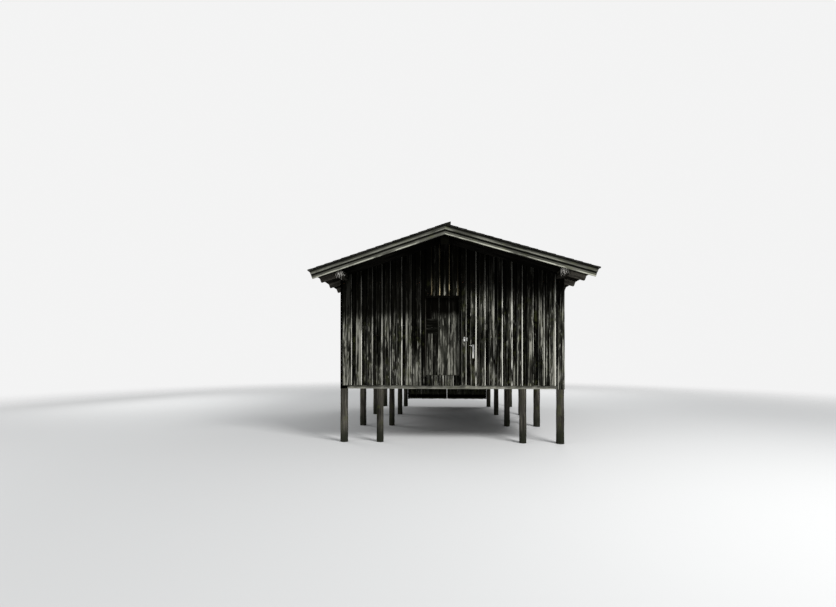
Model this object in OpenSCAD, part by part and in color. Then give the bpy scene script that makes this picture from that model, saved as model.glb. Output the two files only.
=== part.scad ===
// Timber boathouse on piles: boarded walls, a shallow shingled gable roof with
// wide overhangs, a board door on the landing side and a boat gate on the lake side.
// Units are millimetres. X runs across the gable, Y from the door to the lake gate,
// Z up from the foot of the piles at the water line.

/* [Hut] */
// Width over the wall boards
wall_w = 5300; // [4800:50:6000]
// Length over the wall boards
wall_l = 8000; // [6800:100:9600]
// Height of the floor above the foot of the piles
floor_z = 1600; // [1300:20:2000]
// Thickness of the boarding, boards and cover boards together
clad_t = 45; // [35:1:60]
// How far the boarding hangs below the floor
skirt_drop = 250; // [180:10:300]

/* [Roof] */
// How far the shingles reach past the side boards
eave_overhang = 570; // [400:10:800]
// Height of the ridge above the eaves edge
ridge_rise = 995; // [800:5:1300]
// Sideways offset of the ridge from the middle of the hut
ridge_shift = -150; // [-250:5:250]
// How far the shingles reach past the gable boards
gable_overhang = 770; // [600:10:1100]
// How far the left shingles stand past the ridge
ridge_lap = 130; // [60:5:200]
// Thickness of the shingle layer
cover_t = 30; // [20:1:45]
// Thickness of the roof boards under the shingles
deck_t = 25; // [20:1:35]
// Depth of a rafter
rafter_h = 115; // [100:5:150]
// Width of a rafter
rafter_w = 90; // [70:5:110]
// Distance from the shingle edge to the lower tip of a rafter
tail_set = 45; // [40:5:120]
// Angle between the cut of a rafter tail and a plumb line
tail_cut = 20; // [14:1:26]

/* [Boards on the gables] */
// Thickness of one bargeboard
barge_t = 30; // [22:1:40]
// Depth of the upper bargeboard
barge_upper_h = 90; // [70:2:120]
// Depth of the lower bargeboard behind it
barge_lower_h = 190; // [150:5:230]
// Distance from the shingle edge back to the bargeboards
barge_set = 35; // [20:1:45]
// Distance from the shingles' gable edge to the upper bargeboard
barge_front_set = 20; // [10:1:40]
// Thickness of the frieze board that covers the tops of the wall boards
frieze_t = 35; // [25:1:45]
// Depth of the frieze board below the roof boards
frieze_h = 175; // [140:5:220]

/* [Frame] */
// Side of a square post
post_w = 140; // [120:5:160]
// Height of the top of the wall plates above the head of the door opening
plate_up = 540; // [440:10:720]
// Depth of a wall plate
plate_h = 150; // [130:5:180]
// Depth of a tie beam
tie_h = 150; // [130:5:180]
// Width of the ridge purlin
purlin_w = 180; // [140:5:200]
// Depth of the ridge purlin
purlin_h = 250; // [200:5:280]
// How far the ends of the plates and the purlin stand back from the bargeboards
plate_set = 30; // [10:5:60]
// Height of the beam over the door and of the one over the lake gate
head_h = 120; // [100:5:140]
// Depth of the seat cut where one timber bears on another
seat_cut = 12; // [8:1:20]
// Depth of a wall rail, square to the wall
rail_t = 80; // [60:5:100]
// Height of a wall rail
rail_h = 100; // [80:5:120]
// Height of the rails above the floor
rail_up = 900; // [700:20:1100]
// Gap round a timber that passes through boarding
fit_gap = 2; // [1:0.5:4]

/* [Floor and piles] */
// Width of a sill beam
sill_w = 200; // [180:5:240]
// Height of a sill beam
sill_h = 180; // [160:5:220]
// Thickness of the floor planks
plank_t = 40; // [30:1:50]
// Height of a floor joist
joist_h = 100; // [80:5:140]
// Width of a floor joist
joist_w = 80; // [60:5:100]
// Radius of an outer pile
pile_r = 100; // [85:5:115]
// Distance from the wall face to the centre of an outer pile
pile_in = 85; // [70:5:110]
// Radius of an inner pile
inner_pile_r = 90; // [75:5:105]
// Distance between the beams on the two sides of the boat bay
bay_w = 3260; // [2800:20:3400]
// Depth of the landing inside the door, from the frame face
landing_l = 1525; // [1200:25:1900]

/* [Door] */
// Width of the door opening
door_w = 830; // [700:5:950]
// Height of the door opening above the floor
door_h = 1880; // [1750:10:1950]
// Distance of the opening's left edge from the middle of the hut
door_left = -615; // [-700:5:-450]
// Thickness of the door boards
leaf_t = 28; // [22:1:34]
// Thickness of the ledges on the inner face
ledge_t = 22; // [18:1:28]
// Height of one ledge
ledge_h = 130; // [100:5:160]
// Gap between the leaf and the frame
leaf_gap = 6; // [5:0.5:10]
// Gap under the leaf
leaf_foot = 8; // [6:1:14]
// Width of the rebate strip that the leaf closes against
stop_w = 18; // [14:1:24]
// Thickness of the rebate strip
stop_t = 28; // [20:1:36]

/* [Door iron] */
// Radius of a hinge pin
pin_r = 5.5; // [4.5:0.5:7]
// Radial play between the pin and its eye
pin_play = 0.4; // [0.3:0.1:0.8]
// Outer radius of a hinge eye
eye_r = 10; // [9:0.5:13]
// Height of a hinge eye
eye_h = 50; // [40:2:64]
// Height of a hinge strap
strap_h = 40; // [30:2:46]
// Thickness of a hinge strap
strap_t = 6; // [4:0.5:8]
// Length of a hinge strap
strap_l = 380; // [300:10:500]
// Height of the lock plate above the floor
lock_up = 855; // [700:5:1000]
// Distance from the opening to the middle of the lock
lock_out = 128; // [90:2:180]

/* [Lake gate] */
// Height of the gate opening above the floor
gate_h = 1700; // [1500:10:1900]
// Height of the gate's lower edge above the foot of the piles
gate_foot = 300; // [200:10:500]
// Gap round each gate leaf
gate_gap = 8; // [5:1:14]
// Length of a gate strap from the edge of the opening
gate_strap_l = 900; // [700:20:1300]

/* [Hidden] */

LEFT = -1;
RIGHT = 1;
beyond = 500;

// Outer faces of the timber frame, behind the boarding
frame_x = wall_w / 2 - clad_t;
frame_y = wall_l / 2 - clad_t;
wall_x = wall_w / 2;
wall_y = wall_l / 2;

// Floor levels, from the planks down
joist_top = floor_z - plank_t;
sill_top = joist_top - joist_h;
sill_bottom = sill_top - sill_h;
skirt_z = floor_z - skirt_drop;

// Depths below the shingle surface, square to the left slope
deck_d = cover_t;
rafter_d = deck_d + deck_t;
under_d = rafter_d + rafter_h;

// Slope of each side of the roof
roof_w = wall_w + 2 * eave_overhang;
function run(s) = roof_w / 2 - s * ridge_shift;
function pitch(s) = atan(ridge_rise / run(s));
function slope_l(s) = run(s) / cos(pitch(s));

// Both sides keep the same plumb depths, so that their layers meet at the ridge
function plumb(d) = d / cos(pitch(LEFT));
function depth(s, d) = plumb(d) * cos(pitch(s));

// Heights of the frame, measured up from the head of the door opening. Every rafter is
// notched over its wall plate by seat_cut or more
door_top = floor_z + door_h;
plate_top = door_top + plate_up;
plate_bottom = plate_top - plate_h;
tie_bottom = plate_bottom - tie_h;
eave_slope = tan(max(pitch(LEFT), pitch(RIGHT)));
eave_z = plate_top - seat_cut + plumb(under_d) - (roof_w / 2 - frame_x) * eave_slope;
ridge_z = eave_z + ridge_rise;

// Height at x of the plane at depth d under the shingles
function plane_z(s, x, d) = ridge_z - s * (x - ridge_shift) * tan(pitch(s)) - plumb(d);
function under_z(x, d) = plane_z(x < ridge_shift ? LEFT : RIGHT, x, d);

// The purlin and the rafters stand at whole millimetres, so that what meets them does so exactly
plate_in = frame_x - post_w;
purlin_top = round(seat_cut + max(plane_z(LEFT, ridge_shift - purlin_w / 2, under_d),
    plane_z(RIGHT, ridge_shift + purlin_w / 2, under_d)));
purlin_bottom = purlin_top - purlin_h;

// Gable edges, from the shingles in to the flying rafter
roof_y = wall_y + gable_overhang;
barge_y = roof_y - barge_front_set;
lower_barge_y = barge_y - barge_t;
flying_y = lower_barge_y - barge_t;
plate_y = flying_y - plate_set;

// Every third rafter stands on a frame of posts and a tie beam
bays = 9;
bays_per_frame = 3;
frames = [0:bays_per_frame:bays];
end_y = frame_y - rafter_w / 2;
function rafter_y(i) = round(-end_y + i * 2 * end_y / bays);
function post_y(i) = i == 0 ? -frame_y + post_w / 2 : i == bays ? frame_y - post_w / 2 : rafter_y(i);

// Floor plan
sill_in = frame_x - sill_w;
bay_x = bay_w / 2;
landing_y = landing_l - frame_y;
joists_per_frame = 4;

// Door
door_right = door_left + door_w;
door_in_y = -frame_y + post_w;
leaf_y = door_in_y - ledge_t - leaf_t;
stop_y = leaf_y - leaf_gap;
leaf_left = door_left + leaf_gap;
leaf_right = door_right - leaf_gap;
leaf_bottom = floor_z + leaf_foot;
leaf_top = door_top - leaf_gap;
ledge_inset = 30;
ledge_up = [ledge_h, (leaf_top - leaf_bottom) / 2, leaf_top - leaf_bottom - ledge_h];
hinge_x = door_left + leaf_gap / 2;
hinge_y = door_in_y + eye_r + fit_gap;
hinge_z = [leaf_bottom + ledge_up[0], leaf_bottom + ledge_up[2]];
gate_top = floor_z + gate_h;
gate_ledge_z = [gate_foot + ledge_h, floor_z + ledge_h, gate_top - 2 * ledge_h];

module slab(x0, x1, y0, y1, z0, z1) {
    translate([x0, y0, z0]) cube([x1 - x0, y1 - y0, z1 - z0]);
}

// A slab given by its distances from the middle of the hut, on side s
module side_slab(s, x0, x1, y0, y1, z0, z1) {
    slab(s > 0 ? x0 : -x1, s > 0 ? x1 : -x0, y0, y1, z0, z1);
}

module mirror_x() {
    children();
    mirror([1, 0, 0]) children();
}

module mirror_y() {
    children();
    mirror([0, 1, 0]) children();
}

// Stands an outline drawn in X and Z on its edge, from y0 to y1
module upright(y0, y1) {
    translate([0, y1, 0]) rotate([90, 0, 0]) linear_extrude(y1 - y0) children();
}

// X runs down the slope from the ridge, and Z stands square to it
module on_slope(s) {
    translate([ridge_shift, 0, ridge_z]) mirror([s < 0 ? 1 : 0, 0, 0])
        rotate([0, pitch(s), 0]) children();
}

// A board or beam that runs up to the ridge, mitred there
module slope_bar(s, u1, d0, d1, y0, y1, rake = 0) {
    top = depth(s, d0);
    bottom = depth(s, d1);
    on_slope(s) upright(y0, y1)
        polygon([[top * tan(pitch(s)), -top], [u1 + rake, -top], [u1, -bottom],
            [bottom * tan(pitch(s)), -bottom]]);
}

// Openings that the wall plates and the ridge purlin take in whatever they cross
module plates(gap = 0) {
    mirror_x() slab(plate_in - gap, frame_x + gap, -plate_y, plate_y,
        plate_bottom - gap, plate_top + gap);
}

module purlin(gap = 0) {
    slab(ridge_shift - purlin_w / 2 - gap, ridge_shift + purlin_w / 2 + gap,
        -plate_y, plate_y, purlin_bottom - gap, purlin_top + gap);
}

// Gable boarding from x0 to x1 and from z0 up to the roof boards
module gable_panel(x0, x1, z0, y0) {
    d = rafter_d + fit_gap;
    ridge_point = x0 < ridge_shift && x1 > ridge_shift ? [[ridge_shift, under_z(ridge_shift, d)]] : [];
    difference() {
        upright(y0, y0 + clad_t)
            polygon(concat([[x0, z0], [x1, z0], [x1, under_z(x1, d)]], ridge_point,
                [[x0, under_z(x0, d)]]));
        plates(fit_gap);
        purlin(fit_gap);
    }
}

// Piles under the side sills, with thinner ones under the beams of the boat bay
module piles() color("dimgray") mirror_x() for (i = frames) {
    pile_y = i == 0 ? pile_in - wall_y : i == bays ? wall_y - pile_in : rafter_y(i);
    translate([wall_x - pile_in, pile_y, 0]) cylinder(h = sill_bottom, r = pile_r, $fn = 48);
    translate([bay_x + post_w / 2, post_y(i), 0])
        cylinder(h = sill_bottom, r = inner_pile_r, $fn = 48);
}

// The gable sills, open at the lake end, and the beam under the landing's edge
module beams_cross() color("darkslategray") {
    slab(-frame_x, frame_x, -frame_y, -frame_y + sill_w, sill_bottom, sill_top);
    slab(-bay_x, bay_x, landing_y - post_w, landing_y, sill_bottom, sill_top);
    mirror_x() slab(bay_x + post_w, frame_x, frame_y - sill_w, frame_y, sill_bottom, sill_top);
}

// The side sills and the beams along the boat bay
module beams_long() color("darkslategray") mirror_x() {
    slab(sill_in, frame_x, -frame_y + sill_w, frame_y - sill_w, sill_bottom, sill_top);
    slab(bay_x, bay_x + post_w, -frame_y + sill_w, frame_y, sill_bottom, sill_top);
}

// Walkway joists cross from the bay beams to the side sills, between the posts,
// and landing joists run back from the front sill to the landing beam
module floor_joists() color("gray") {
    joists = joists_per_frame * bays / bays_per_frame;
    mirror_x() for (k = [0:joists - 1])
        translate([0, -end_y + (k + 0.5) * 2 * end_y / joists, 0])
            slab(bay_x, plate_in - fit_gap, -joist_w / 2, joist_w / 2, sill_top, joist_top);
    for (k = [-2:2])
        translate([k * bay_x / 2.5, 0, 0])
            slab(-joist_w / 2, joist_w / 2, door_in_y + fit_gap, landing_y, sill_top, joist_top);
}

module walkways() color("lightslategray") difference() {
    mirror_x() slab(bay_x, frame_x - fit_gap, -frame_y + fit_gap, frame_y - fit_gap, joist_top, floor_z);
    posts(fit_gap);
}

module landing() color("lightslategray") difference() {
    slab(-bay_x, bay_x, -frame_y + fit_gap, landing_y, joist_top, floor_z);
    for (x = [door_left - post_w, door_right])
        slab(x - fit_gap, x + post_w + fit_gap, -frame_y, door_in_y + fit_gap, joist_top - 1, floor_z + 1);
}

// Corner and wall posts on the sills, and gate posts on the bay beams
module posts(gap = 0) color("dimgray") mirror_x() {
    for (i = frames) translate([frame_x - post_w / 2, post_y(i), sill_top])
        post(gap);
    translate([bay_x + post_w / 2, post_y(bays), sill_top]) post(gap);
}

module post(gap) {
    side = post_w + 2 * gap;
    translate([-side / 2, -side / 2, 0]) cube([side, side, tie_bottom - sill_top]);
}

module door_posts() color("dimgray") for (x = [door_left - post_w, door_right])
    slab(x, x + post_w, -frame_y, door_in_y, sill_top, tie_bottom);

// Strips on the door posts and under the head beam, which the leaf closes against
module door_stops() color("dimgray") {
    slab(door_left, door_left + stop_w, stop_y - stop_t, stop_y, floor_z, door_top);
    slab(door_right - stop_w, door_right, stop_y - stop_t, stop_y, floor_z, door_top);
    slab(door_left + stop_w + fit_gap, door_right - stop_w - fit_gap, stop_y - stop_t, stop_y,
        door_top - stop_w, door_top);
}

// The beams over the door and over the lake gate, between their posts
module head_beams() color("dimgray") {
    slab(door_left, door_right, -frame_y, door_in_y, door_top, door_top + head_h);
    slab(-bay_x, bay_x, frame_y - post_w, frame_y, gate_top, gate_top + head_h);
}

module tie_beams() color("dimgray") for (i = frames)
    translate([0, post_y(i), 0])
        slab(-frame_x, frame_x, -post_w / 2, post_w / 2, tie_bottom, plate_bottom);

module king_posts() color("dimgray") for (i = frames)
    translate([ridge_shift, post_y(i), 0])
        slab(-post_w / 2, post_w / 2, -post_w / 2, post_w / 2, plate_bottom, purlin_bottom);

module wall_rails() color("gray") {
    rail_z = floor_z + rail_up;
    mirror_x() for (i = [0:bays_per_frame:bays - 1])
        slab(frame_x - rail_t, frame_x, post_y(i) + post_w / 2, post_y(i + bays_per_frame) - post_w / 2,
            rail_z, rail_z + rail_h);
    slab(-plate_in, door_left - post_w, -frame_y, -frame_y + rail_t, rail_z, rail_z + rail_h);
    slab(door_right + post_w, plate_in, -frame_y, -frame_y + rail_t, rail_z, rail_z + rail_h);
    mirror_x() slab(bay_x + post_w, plate_in, frame_y - rail_t, frame_y, rail_z, rail_z + rail_h);
}

module wall_plates() color("dimgray") plates();

module ridge_purlin() color("dimgray") purlin();

// Ten rafters over the walls and a flying rafter behind each pair of bargeboards.
// Their tails are cut at a rake, short of the edge of the roof boards
module rafters(s) color("darkgray") difference() {
    flying = flying_y - rafter_w / 2;
    for (y = concat([-flying], [for (i = [0:bays]) rafter_y(i)], [flying]))
        slope_bar(s, slope_l(s) - tail_set, rafter_d, under_d, y - rafter_w / 2, y + rafter_w / 2,
            rafter_h * tan(tail_cut - pitch(s)));
    plates();
    purlin();
}

// Side boarding up to the underside of the rafters
module side_wall(s) color("dimgray")
    side_slab(s, frame_x, wall_x, -frame_y, frame_y, skirt_z, plane_z(s, s * wall_x, under_d) - fit_gap);

module front_wall_left() color("dimgray")
    gable_panel(-wall_x, door_left, skirt_z, -wall_y);

module front_wall_right() color("dimgray")
    gable_panel(door_right, wall_x, skirt_z, -wall_y);

module front_gable() color("dimgray")
    gable_panel(door_left, door_right, door_top, -wall_y);

module door_apron() color("dimgray")
    slab(door_left, door_right, -wall_y, -frame_y, skirt_z, floor_z);

module back_wall_left() color("dimgray")
    gable_panel(-wall_x, -bay_x, skirt_z, frame_y);

module back_wall_right() color("dimgray")
    gable_panel(bay_x, wall_x, skirt_z, frame_y);

module back_gable() color("dimgray")
    gable_panel(-bay_x, bay_x, gate_top, frame_y);

// Two board leaves that close the boat bay down to just above the water
module boat_gate(s) color("slategray") {
    side_slab(s, gate_gap / 2, bay_x - gate_gap, frame_y, wall_y, gate_foot, gate_top - gate_gap);
    for (z = gate_ledge_z)
        side_slab(s, gate_gap, bay_x - 2 * gate_gap, frame_y - ledge_t, frame_y,
            z - ledge_h / 2, z + ledge_h / 2);
}

// Straps outside that hang each leaf on the boarding in front of the gate post
module gate_hinges() color("darkslategray") mirror_x() for (z = [gate_ledge_z[1], gate_ledge_z[2]])
    slab(bay_x - gate_strap_l, bay_x + post_w, wall_y, wall_y + strap_t, z - strap_h / 2, z + strap_h / 2);

module barge_upper(s) color("darkgray") mirror_y()
    slope_bar(s, slope_l(s) - barge_set, deck_d, deck_d + barge_upper_h, -barge_y, -lower_barge_y);

module barge_lower(s) color("darkgray") mirror_y()
    slope_bar(s, slope_l(s) - barge_set, deck_d, deck_d + barge_lower_h, -lower_barge_y, -flying_y);

// Frieze boards lie on the wall boards, cut round the plates and the purlin
module frieze(s) color("dimgray") difference() {
    d0 = rafter_d + fit_gap;
    d1 = rafter_d + frieze_h;
    x = s * wall_x;
    mirror_y() upright(-wall_y - frieze_t, -wall_y)
        polygon([[ridge_shift, plane_z(s, ridge_shift, d0)], [x, plane_z(s, x, d0)],
            [x, plane_z(s, x, d1)], [ridge_shift, plane_z(s, ridge_shift, d1)]]);
    plates(fit_gap);
    purlin(fit_gap);
}

module roof_deck(s) color("gray")
    slope_bar(s, slope_l(s) - barge_set, deck_d, rafter_d, -flying_y, flying_y);

// The left shingles run on past the ridge and shelter the joint
module roof_cover_left() color("slategray") on_slope(LEFT) upright(-roof_y, roof_y)
    polygon([[-ridge_lap, 0], [slope_l(LEFT), 0], [slope_l(LEFT), -cover_t],
        [cover_t * tan(pitch(LEFT)), -cover_t], [-ridge_lap, -cover_t]]);

module roof_cover_right() color("slategray") difference() {
    slope_bar(RIGHT, slope_l(RIGHT), 0, cover_t, -roof_y, roof_y);
    on_slope(LEFT) slab(-beyond, beyond, -roof_y - 1, roof_y + 1, -cover_t, beyond);
}

module door_leaf() color("dimgray")
    slab(leaf_left, leaf_right, leaf_y, leaf_y + leaf_t, leaf_bottom, leaf_top);

module door_ledges() color("gray") for (up = ledge_up)
    translate([0, 0, leaf_bottom + up])
        slab(leaf_left + ledge_inset, leaf_right - ledge_inset, leaf_y + leaf_t, door_in_y,
            -ledge_h / 2, ledge_h / 2);

// Long straps on the ledges, each ending in an eye that turns on a pin
module door_hinges() color("darkslategray") for (z = hinge_z) translate([hinge_x, 0, z])
    difference() {
        union() {
            slab(0, strap_l, door_in_y, door_in_y + strap_t, -strap_h / 2, strap_h / 2);
            translate([0, hinge_y, -eye_h / 2]) cylinder(h = eye_h, r = eye_r, $fn = 40);
        }
        translate([0, hinge_y, -eye_h]) cylinder(h = 2 * eye_h, r = pin_r + pin_play, $fn = 40);
    }

// A pin on a short arm, screwed to the post beside the leaf
module hinge_pins() color("darkslategray") {
    arm = 12;
    plate_l = 80;
    for (z = hinge_z) translate([hinge_x, 0, z - eye_h / 2 - fit_gap]) {
        translate([0, hinge_y, -arm]) cylinder(h = arm + fit_gap + eye_h + fit_gap, r = pin_r, $fn = 40);
        slab(-plate_l, pin_r + 1, door_in_y, hinge_y + pin_r, -arm, 0);
    }
}

// A plate with a strap and a staple beside the opening, and a padlock hung in the staple
module lock() color("silver") {
    plate_w = 36;
    plate_z = 80;
    plate_y = 5;
    strap_z = 28;
    staple_x = -22;
    staple_z = 37;
    staple_r = 4;
    staple_out = 26;
    prong_x = 12;
    shackle_x = 15;
    shackle_y = staple_r - staple_out;
    body_w = 42;
    body_h = 56;
    body_y = 22;
    drop = 30;
    translate([door_right + lock_out, -wall_y, floor_z + lock_up]) {
        slab(fit_gap, fit_gap + plate_w, -plate_y, 0, -plate_z / 2, plate_z / 2);
        slab(2 * staple_x, fit_gap, -plate_y, 0, staple_z - strap_z / 2, plate_z / 2);
        translate([staple_x, 0, staple_z]) {
            for (x = [-prong_x, prong_x]) translate([x, 0, 0]) rotate([90, 0, 0])
                cylinder(h = staple_out, r = staple_r, $fn = 24);
            translate([-prong_x - staple_r, -staple_out, 0]) rotate([0, 90, 0])
                cylinder(h = 2 * (prong_x + staple_r), r = staple_r, $fn = 24);
            for (x = [-shackle_x, shackle_x]) translate([x, shackle_y, -drop])
                cylinder(h = drop + staple_r, r = staple_r, $fn = 24);
            translate([-shackle_x - staple_r, shackle_y, 2 * staple_r]) rotate([0, 90, 0])
                cylinder(h = 2 * (shackle_x + staple_r), r = staple_r, $fn = 24);
            translate([0, shackle_y, 0])
                slab(-body_w / 2, body_w / 2, -body_y / 2, body_y / 2, -drop - body_h, -drop);
        }
    }
}

piles();
beams_cross();
beams_long();
floor_joists();
walkways();
landing();
posts();
door_posts();
door_stops();
head_beams();
tie_beams();
king_posts();
wall_rails();
wall_plates();
ridge_purlin();
rafters(LEFT);  // rafters_left
rafters(RIGHT);  // rafters_right
side_wall(LEFT);  // left_wall
side_wall(RIGHT);  // right_wall
front_wall_left();
front_wall_right();
front_gable();
door_apron();
back_wall_left();
back_wall_right();
back_gable();
boat_gate(LEFT);  // boat_gate_left
boat_gate(RIGHT);  // boat_gate_right
gate_hinges();
barge_upper(LEFT);  // barge_upper_left
barge_upper(RIGHT);  // barge_upper_right
barge_lower(LEFT);  // barge_lower_left
barge_lower(RIGHT);  // barge_lower_right
frieze(LEFT);  // frieze_left
frieze(RIGHT);  // frieze_right
roof_deck(LEFT);  // roof_deck_left
roof_deck(RIGHT);  // roof_deck_right
roof_cover_left();
roof_cover_right();
door_leaf();
door_ledges();
door_hinges();
hinge_pins();
lock();
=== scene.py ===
"""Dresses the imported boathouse: boards, shingles, planks, logs, ironwork, finishes, light and camera.

Everything is in metres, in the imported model's frame: the door gable faces -Y, and Z is up from the pile feet.
"""

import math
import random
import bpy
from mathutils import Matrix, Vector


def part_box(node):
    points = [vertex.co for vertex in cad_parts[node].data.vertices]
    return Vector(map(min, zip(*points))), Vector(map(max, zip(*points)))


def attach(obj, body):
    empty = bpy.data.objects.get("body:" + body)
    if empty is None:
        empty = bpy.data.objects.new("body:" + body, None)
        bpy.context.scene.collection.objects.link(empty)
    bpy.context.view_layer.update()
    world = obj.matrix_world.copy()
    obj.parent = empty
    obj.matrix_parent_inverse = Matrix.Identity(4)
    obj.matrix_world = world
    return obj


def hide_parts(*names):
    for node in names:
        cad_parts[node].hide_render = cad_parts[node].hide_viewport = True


bl_info = {
    "name": "Timber Boathouse",
    "version": (1, 0, 0),
    "blender": (4, 5, 0),
    "location": "3D View > Sidebar > Boathouse",
    "description": "Lays boards, shingles, planks, logs and ironwork over the packed boathouse and lights it",
    "category": "Object",
}

import bmesh
import bpy
from bpy.props import FloatProperty, FloatVectorProperty, IntProperty, PointerProperty
from mathutils import Matrix, Vector

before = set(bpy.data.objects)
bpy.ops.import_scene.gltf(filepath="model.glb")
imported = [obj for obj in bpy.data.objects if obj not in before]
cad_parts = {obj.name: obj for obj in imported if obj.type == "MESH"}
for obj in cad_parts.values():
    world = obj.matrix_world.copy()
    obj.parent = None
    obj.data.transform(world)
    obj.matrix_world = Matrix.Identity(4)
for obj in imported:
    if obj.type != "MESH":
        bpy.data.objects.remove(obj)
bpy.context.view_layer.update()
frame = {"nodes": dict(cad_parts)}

LEFT, RIGHT = -1, 1
X, Y, Z = Vector((1, 0, 0)), Vector((0, 1, 0)), Vector((0, 0, 1))

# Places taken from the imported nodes
WALL_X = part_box("right_wall")[1].x
FRAME_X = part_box("right_wall")[0].x
WALL_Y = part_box("back_gable")[1].y
FRAME_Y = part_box("back_gable")[0].y
SKIRT_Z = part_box("left_wall")[0].z
SIDE_TOP = {LEFT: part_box("left_wall")[1].z, RIGHT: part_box("right_wall")[1].z}
FLOOR_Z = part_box("landing")[1].z
DOOR_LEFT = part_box("door_apron")[0].x
DOOR_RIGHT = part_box("door_apron")[1].x
DOOR_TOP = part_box("front_gable")[0].z
GATE_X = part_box("back_gable")[1].x
GATE_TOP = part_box("back_gable")[0].z
ROOF_LOW, ROOF_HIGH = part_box("roof_cover_left")
ROOF_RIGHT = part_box("roof_cover_right")[1].x
RIDGE_X = (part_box("ridge_purlin")[0].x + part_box("ridge_purlin")[1].x) / 2
RAIL_LOW, RAIL_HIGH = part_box("wall_rails")
PILE_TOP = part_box("piles")[1].z
CORNER_FOOT = PILE_TOP + 0.003

# Sizes that the part's source gives and a box doesn't
RAIL_T = 0.080
RIDGE_RISE = 0.995
COVER_T = 0.030
DECK_T = 0.025
RIDGE_LAP = 0.130
EDGE_SET = 0.035
BARGE_T = 0.030
BARGE_UPPER_H = 0.090
BARGE_LOWER_H = 0.190
BARGE_FRONT_SET = 0.020

# Right-hand edges of the cover boards on the door gable, from left to right; a pair is a corner board
COVERS_LEFT = ((-2.585, -2.37), -2.13, -1.86, -1.63, -1.43, -1.16, -0.93, -0.71)
COVERS_OVER_DOOR = (-0.45, -0.26, -0.03, 0.17)
COVERS_BELOW_DOOR = (-0.42, -0.17, 0.06)
COVERS_RIGHT = (0.37, 0.60, 0.81, 1.02, 1.215, 1.44, 1.68, 1.93, 2.19, 2.445, (2.495, WALL_X))
# Those of them that are palest: worn, and with a painted highlight as if lit from the right
WORN_AND_LIT_EDGES = (-2.37, -2.13, -1.16, -0.26, -0.03, 0.60, 0.81, 1.215, 1.44, 1.68, 2.445)

# Heights of the rows of nails in the wall boards
LOW_NAILS = SKIRT_Z + 0.09
RAIL_NAILS = (RAIL_LOW.z + RAIL_HIGH.z) / 2
GABLE_NAILS = 3.8

POINT_VALUES = ("board", "tone", "worn", "dirt", "shelter", "warm")


def slope_angle(side):
    run = RIDGE_X - ROOF_LOW.x if side == LEFT else ROOF_RIGHT - RIDGE_X
    return math.atan(RIDGE_RISE / run)


RIDGE_Z = ROOF_LOW.z + RIDGE_RISE + COVER_T * math.cos(slope_angle(LEFT))


class Slope:
    """One side of the roof: a place on it is given by u down the slope, w out of it and y along the ridge."""

    def __init__(self, side):
        self.side = side
        self.angle = slope_angle(side)
        self.down = Vector((side * math.cos(self.angle), 0, -math.sin(self.angle)))
        self.out = Vector((side * math.sin(self.angle), 0, math.cos(self.angle)))
        self.length = RIDGE_RISE / math.sin(self.angle)
        self.depth_scale = math.cos(self.angle) / math.cos(slope_angle(LEFT))

    def depth(self, d):
        """The depth square to this slope of a layer that lies d below the left shingles."""
        return d * self.depth_scale

    def at(self, u, w, y):
        return Vector((RIDGE_X, y, RIDGE_Z)) + self.down * u + self.out * w

    def height(self, x, d):
        """Height at x of the plane at depth d."""
        fall = self.side * (x - RIDGE_X) * math.tan(self.angle)
        return RIDGE_Z - fall - self.depth(d) / math.cos(self.angle)


SLOPES = {side: Slope(side) for side in (LEFT, RIGHT)}
GABLE_TOP_D = COVER_T + DECK_T + 0.002


def gable_top(x):
    """Height of the top of the gable boards at x."""
    return SLOPES[LEFT if x < RIDGE_X else RIGHT].height(x, GABLE_TOP_D)


# Timber


def put_in_scene(name, data):
    """A mesh, lamp or camera as an object in the scene."""
    made = bpy.data.objects.new(name, data)
    bpy.context.scene.collection.objects.link(made)
    return made


def mesh_object(name, mesh, material):
    """What was built as a mesh, in its material, as an object in the scene."""
    data = bpy.data.meshes.new(name)
    mesh.to_mesh(data)
    mesh.free()
    data.materials.append(material)
    return put_in_scene(name, data)


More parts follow.
